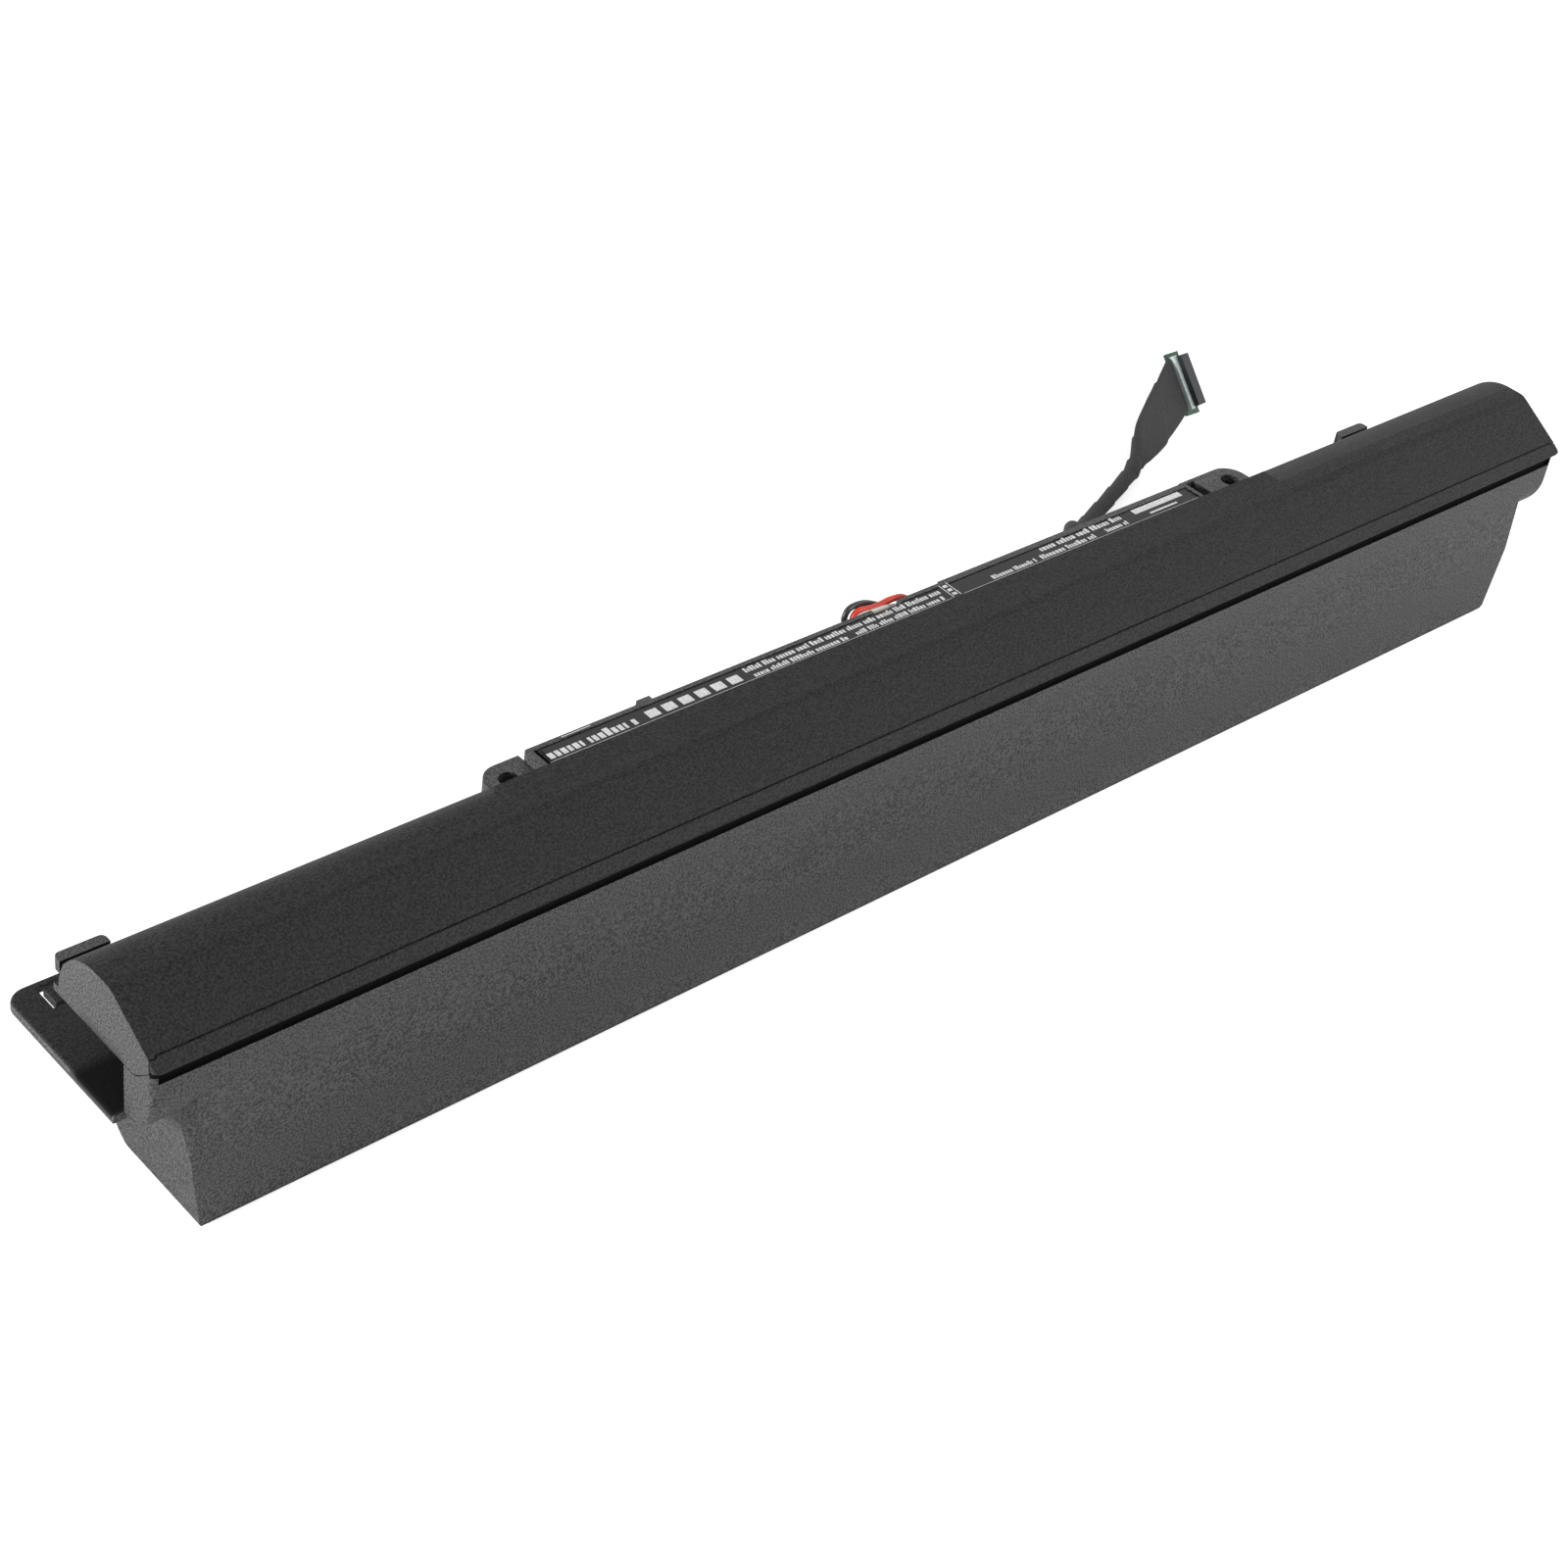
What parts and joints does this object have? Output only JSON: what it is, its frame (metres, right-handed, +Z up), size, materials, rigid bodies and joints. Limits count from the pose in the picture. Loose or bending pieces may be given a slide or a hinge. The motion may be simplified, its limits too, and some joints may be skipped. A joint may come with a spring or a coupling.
{
  "type": "laptop battery",
  "caption": "Long laptop battery pack in a moulded plastic case with a flat rear plate, hinge recesses, screw tabs, and a taped output cable with its plug.",
  "frame": {"origin": "on the surface that the pack stands on, under the middle of the case's bounding box", "axes": "+X along the pack, +Z up, -Y out of the long front face"},
  "size_m": [0.2932, 0.088, 0.0393],
  "materials": {
    "case": "fine moulded grain",
    "cover": "fine moulded grain",
    "label": "smooth printed film",
    "cell_wrap": "shrunk film",
    "card": "fibre card",
    "nickel": "rolled strip",
    "board": "solder mask",
    "chip": "moulded package",
    "capacitor": "fired ceramic",
    "fuse": "plated case",
    "bead": "dipped resin",
    "foam": "open foam",
    "wire_black": "soft insulation",
    "wire_white": "soft insulation",
    "wire_red": "soft insulation",
    "tape": "wound cloth tape",
    "connector_strip": "moulded",
    "connector_body": "moulded"
  },
  "bodies": {
    "root": {"bottom_cover": "case", "cable_flare": "tape", "capacitors": "capacitor", "connector_board": "board", "connector_body": "connector_body", "connector_strip": "connector_strip", "exit_wire_black": "wire_black", "exit_wire_red_1": "wire_red", "exit_wire_red_2": "wire_red", "exit_wire_white": "wire_white", "foam_pads": "foam", "gauge_chip": "chip", "hinge_cover_left": "cover", "hinge_cover_right": "cover", "insulating_rings": "card", "link_lead_bay": "wire_black", "link_lead_left": "wire_white", "link_lead_right": "wire_white", "lower_cells": "cell_wrap", "main_housing": "case", "nickel_strip_bay_end": "nickel", "nickel_strip_left_end": "nickel", "nickel_strip_link": "nickel", "nickel_strip_middle": "nickel", "nickel_strip_minus": "nickel", "nickel_strip_plus_1": "nickel", "nickel_strip_plus_2": "nickel", "nickel_strip_right_end": "nickel", "output_cable": "tape", "protection_board": "board", "rating_label": "label", "sense_resistor": "chip", "switch_transistors": "chip", "thermal_fuse": "fuse", "thermistor": "bead", "top_cover": "cover", "upper_cells": "cell_wrap"}
  },
  "joints": []
}
